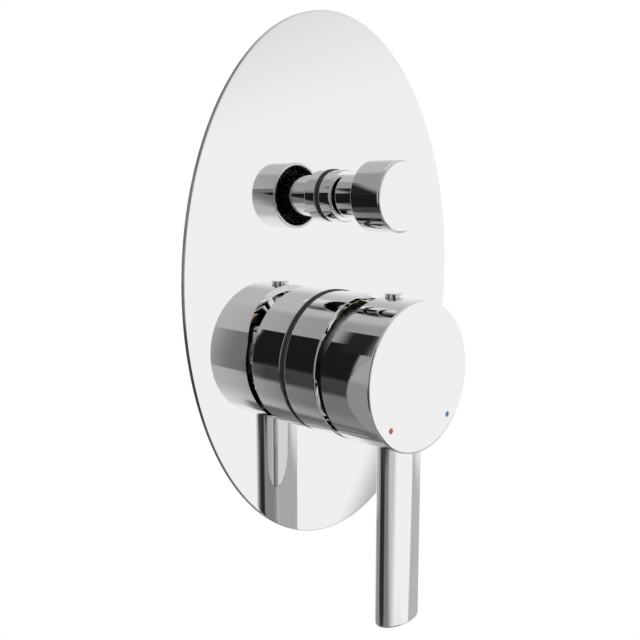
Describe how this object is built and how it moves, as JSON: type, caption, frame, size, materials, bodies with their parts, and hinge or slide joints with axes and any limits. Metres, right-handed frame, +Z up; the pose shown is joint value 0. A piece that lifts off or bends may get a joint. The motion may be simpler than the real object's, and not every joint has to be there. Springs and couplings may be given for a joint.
{
  "type": "concealed shower mixer",
  "caption": "Concealed single-lever shower mixer: chromed oval wall plate with a round cap and oval lever, a pull knob for the diverter and an in-wall brass valve body.",
  "frame": {"origin": "middle of the oval plate on the wall plane", "axes": "-Y out of the wall towards the user, +Z up, +X to the user's right"},
  "size_m": [0.1206, 0.1017, 0.192],
  "materials": {
    "polished_chrome": "mirror polish",
    "cast_brass": "as cast",
    "bright_brass": "turned",
    "cartridge_plastic": "moulded",
    "rotor_plastic": "moulded",
    "white_ceramic": "lapped",
    "black_rubber": "matt",
    "grey_foam": "cellular",
    "plain_steel": "machined",
    "red_enamel": "gloss",
    "blue_enamel": "gloss"
  },
  "bodies": {
    "wall_unit": {"valve_body": "cast_brass", "cover_plate": "polished_chrome", "plate_gasket": "grey_foam", "sleeve_gasket": "black_rubber", "lever_sleeve": "polished_chrome", "cartridge_base": "cartridge_plastic", "cartridge_seals": "black_rubber", "cartridge_housing": "cartridge_plastic", "fixed_disc": "white_ceramic", "cartridge_nut": "bright_brass", "dome_cover": "polished_chrome", "collar_gasket": "black_rubber", "diverter_collar": "polished_chrome", "diverter_bonnet": "bright_brass", "bonnet_o_ring": "black_rubber", "stem_o_ring": "black_rubber"},
    "turret": {"cartridge_rotor": "rotor_plastic", "pivot_pin": "plain_steel"},
    "disc_stack": {"moving_disc": "white_ceramic", "disc_carrier": "rotor_plastic"},
    "handle": {"cartridge_spindle": "plain_steel", "lever_handle": "polished_chrome", "hot_mark": "red_enamel", "cold_mark": "blue_enamel", "grub_screw": "plain_steel", "grub_screw_cover": "polished_chrome"},
    "diverter": {"diverter_stem": "polished_chrome", "diverter_knob": "polished_chrome", "diverter_piston": "bright_brass", "piston_seals": "black_rubber", "piston_screw": "plain_steel"}
  },
  "joints": [
    {"name": "temperature_turn", "type": "hinge", "parent": "wall_unit", "child": "turret", "pos_m": [0, -0.0108, -0.0269], "axis": [0, 1, 0], "range_deg": [-45, 45]},
    {"name": "flow_tilt", "type": "hinge", "parent": "turret", "child": "handle", "pos_m": [0, -0.0108, -0.0269], "axis": [-1, 0, 0], "range_deg": [0, 16]},
    {"name": "disc_slide", "type": "slide", "parent": "turret", "child": "disc_stack", "axis": [0, 0, -1], "range_m": [0, 0.00308]},
    {"name": "diverter_pull", "type": "slide", "parent": "wall_unit", "child": "diverter", "axis": [0, -1, 0], "range_m": [0, 0.009]}
  ],
  "couplings": [
    {"joint": "disc_slide", "follows": "flow_tilt", "m_per_rad": 0.011}
  ]
}
